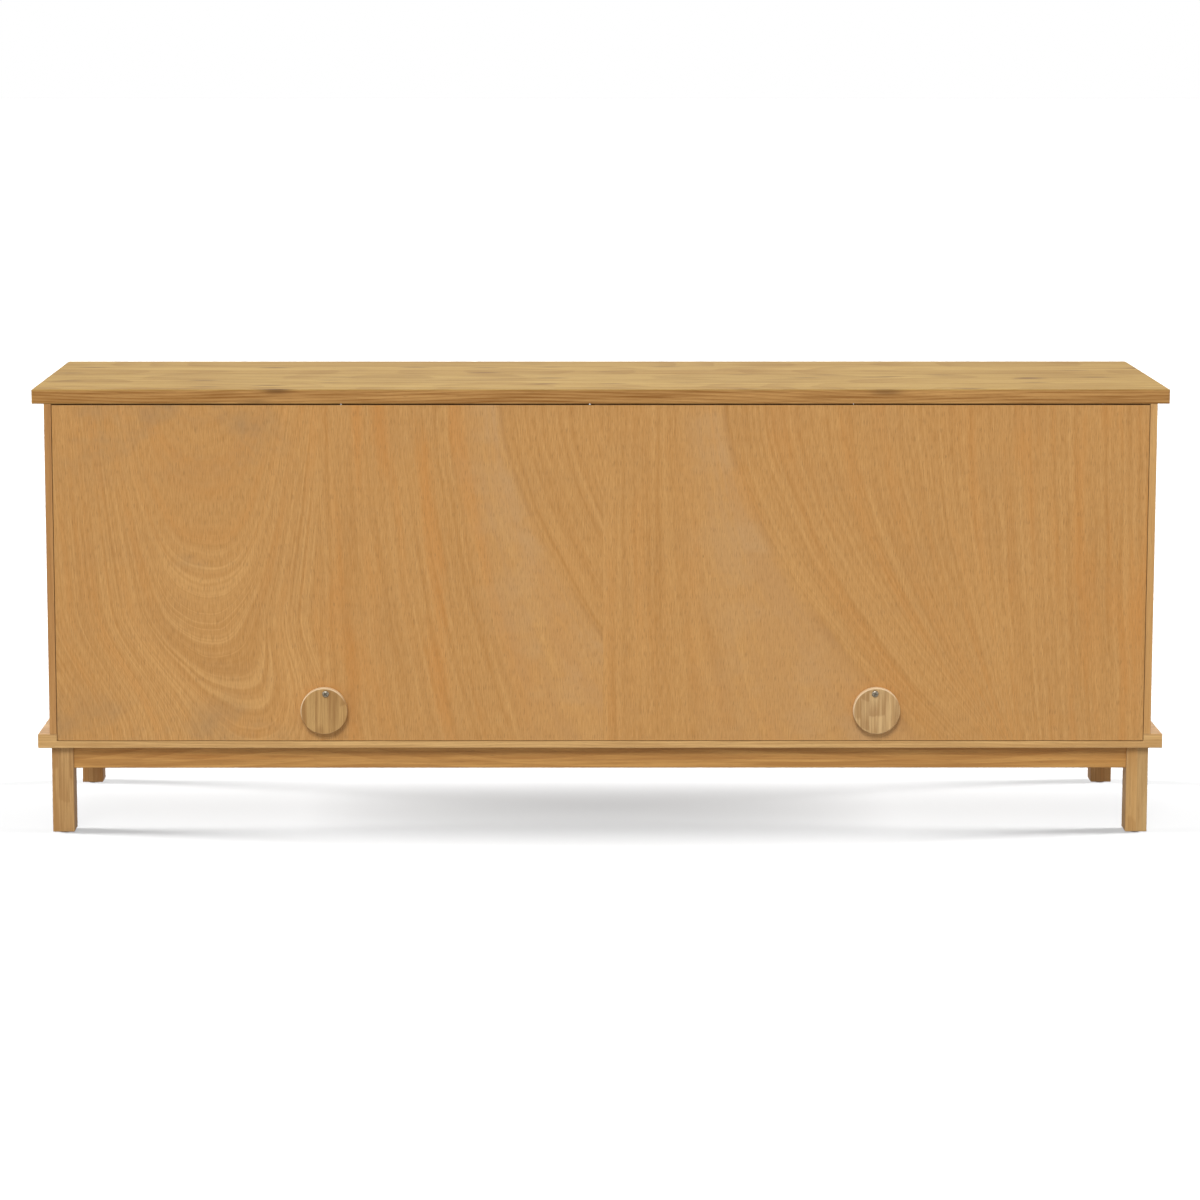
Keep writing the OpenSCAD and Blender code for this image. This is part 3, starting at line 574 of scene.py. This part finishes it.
DOORS = ("left_outer", "left_inner", "right_inner", "right_outer")
for number, door in enumerate(DOORS):
    for part, axes, tone, stave in (("stiles", "ZXY", (0.52, 0.31, 0.12), 0.3),
                                    ("rails", "XZY", (0.51, 0.3, 0.115), 0.3),
                                    ("panel", "ZXY", (0.54, 0.3, 0.11), 0.5)):
        node = f"door_{door}_{part}"
        door_wood = wood(node + "_wood", axes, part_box(node), tone, spread=0.16, stave=stave, pith=0.09,
                         pitch=0.007 if part == "panel" else 0.005, rings=0.6, streaks=0.8,
                         seed=11.3 + 2.7 * number + len(part), red=0.2)
        dress([node], door_wood)


# ---------- knobs ----------
# Turned mushroom knobs of the same timber, screwed on from behind the stile.

def knob_profile(radius, length, bore, bore_end):
    """Half section from the bore's blind end round to the middle of the face, as radius and distance from
    the door. The foot narrows to the neck by a square law, a quarter ellipse swells it to its widest, and
    a fuller quarter ellipse closes the face."""
    foot, neck = radius * 0.55, radius * 0.42
    neck_end, widest = length * 0.42, length * 0.68
    rise = np.linspace(0, 1, 14)
    swell = np.linspace(-np.pi / 2, 0, 18)[1:]
    close = np.linspace(0, np.pi / 2, 26)[1:-1]
    rows = [np.array([[bore * 0.5, bore_end], [bore, bore_end], [bore, 0.0003], [bore + 0.0003, 0.0],
                      [foot - 0.0005, 0.0]]),
            np.stack([neck + (foot - neck) * (1 - rise) ** 2, 0.0002 + (neck_end - 0.0002) * rise], -1),
            np.stack([neck + (radius - neck) * np.cos(swell),
                      widest + (widest - neck_end) * np.sin(swell)], -1),
            np.stack([radius * np.cos(close) ** 0.7, widest + (length - widest) * np.sin(close)], -1)]
    return np.concatenate(rows)


KNOB_BORE, KNOB_BORE_DEPTH = 0.002, 0.0135
for number, door in enumerate(DOORS):
    node = f"door_{door}_knob"
    low, high = (np.array(corner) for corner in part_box(node))
    middle = (low + high) / 2
    section = knob_profile((high[0] - low[0]) / 2, high[1] - low[1], KNOB_BORE, KNOB_BORE_DEPTH)
    profile = [(middle[0], middle[2], out, high[1] - away) for out, away in section]
    piece = skin(f"turned_knob_{door}", rings_on_y(profile, 72), False)
    knob_wood = wood(f"knob_wood_{door}", "ZXY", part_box(node), (0.54, 0.33, 0.135), stave=0.3, pitch=0.003,
                     rings=0.6, streaks=1.0, seed=21.0 + number)
    piece.data.materials.append(knob_wood)
    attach(piece, f"door_{door}")
    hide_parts(node)


# ---------- hinges, catches and their screws ----------
# Brass butt hinges let into the door edges, a brown plastic magnetic catch under the top for each door,
# and a plated steel strike opposite it.

brass = small_part("hinge_brass", (0.62, 0.44, 0.18), 1.0, 0.36, (0.36, 0.23, 0.09))
catch_plastic = small_part("catch_plastic", (0.1, 0.05, 0.025), 0.0, 0.5, (0.17, 0.1, 0.06))
dress(["carcass_hinge_leaves", "hinge_pins"] + [f"door_{door}_hinge_leaves" for door in DOORS], brass)
dress(["hinge_screws"] + [f"door_{door}_{part}" for door in DOORS for part in ("strike", "screws")], zinc)
dress(["magnetic_catches"], catch_plastic)


# ---------- floor, light and camera ----------
# A pale matt floor, an even white surround, soft broad lamps, and one low lamp at each end that lights
# only the floor, so that the feet throw short soft shadows.

floor_mesh = bpy.data.meshes.new("floor")
HALF = 40.0
floor_mesh.from_pydata([(-HALF, -HALF, 0), (HALF, -HALF, 0), (HALF, HALF, 0), (-HALF, HALF, 0)], [],
                       [(0, 1, 2, 3)])
floor = bpy.data.objects.new("floor", floor_mesh)
bpy.context.scene.collection.objects.link(floor)
paper, paper_shader, paper_place = start_material("floor_paper")
# the light that the paper throws back up at the boards is set apart from how pale it looks
looked_at = paper_place.add("LightPath")
for socket, thrown_back, seen in (("Base Color", 0.05, (0.15, 0.15, 0.15)),
                                  ("Emission Color", 0.25, (0.37, 0.374, 0.379))):
    paper_tone = looked_at.between((thrown_back, thrown_back, thrown_back, 1), (*seen, 1))
    paper_place.tree.links.new(paper_tone.socket, paper_shader.inputs[socket])
paper_shader.inputs["Emission Strength"].default_value = 1.0
paper_shader.inputs["Roughness"].default_value = 0.9
paper_shader.inputs["Specular IOR Level"].default_value = 0.0
floor_mesh.materials.append(paper)
floor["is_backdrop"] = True

world = bpy.data.worlds.new("surround")
bpy.context.scene.world = world
world.use_nodes = True
surround = Tone(world.node_tree, None)
bright = surround.add("LightPath") * 0.47 + 0.53
world.node_tree.links.new(bright.socket, world.node_tree.nodes["Background"].inputs["Strength"])
world.node_tree.nodes["Background"].inputs["Color"].default_value = (1, 1, 1, 1)

floor_only = bpy.data.collections.new("floor_only")
floor_only.objects.link(floor)


def lamp(name, bearing, height, strength, softness, receivers=None):
    """A distant soft lamp. bearing is the compass way it shines from, in degrees round from +X towards
    +Y, height is degrees above the floor, and softness is its width in degrees."""
    data = bpy.data.lights.new(name, "SUN")
    data.energy = strength
    data.angle = np.radians(softness)
    lamp_object = bpy.data.objects.new(name, data)
    lamp_object.rotation_euler = Euler((0, np.radians(90 - height), np.radians(bearing)), "XYZ")
    lamp_object.light_linking.receiver_collection = receivers
    bpy.context.scene.collection.objects.link(lamp_object)


lamp("key", 80, 42, 1.7, 22)
lamp("front_fill", -90, 35, 0.9, 30)
lamp("side_left", 0, 20, 0.8, 30)
lamp("side_right", 180, 20, 0.8, 30)
lamp("floor_left", -5, 6.5, 80, 18, floor_only)
lamp("floor_right", 185, 6.5, 80, 18, floor_only)

camera_data = bpy.data.cameras.new("camera")
camera_data.sensor_width = 36.0
camera_data.lens = 101.8
# the lens is shifted a little, so that the camera tilts less and upright edges stay nearly upright
camera_data.shift_x = 0.0391
camera_data.shift_y = -0.15
camera = bpy.data.objects.new("camera", camera_data)
camera.location = (0.081, 5.532, 1.332)
camera.rotation_euler = Euler((np.radians(90 - 7.07), 0, np.radians(180 - 0.06)), "XYZ")
bpy.context.scene.collection.objects.link(camera)
bpy.context.scene.camera = camera
bpy.context.scene.view_settings.view_transform = "Standard"

low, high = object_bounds()
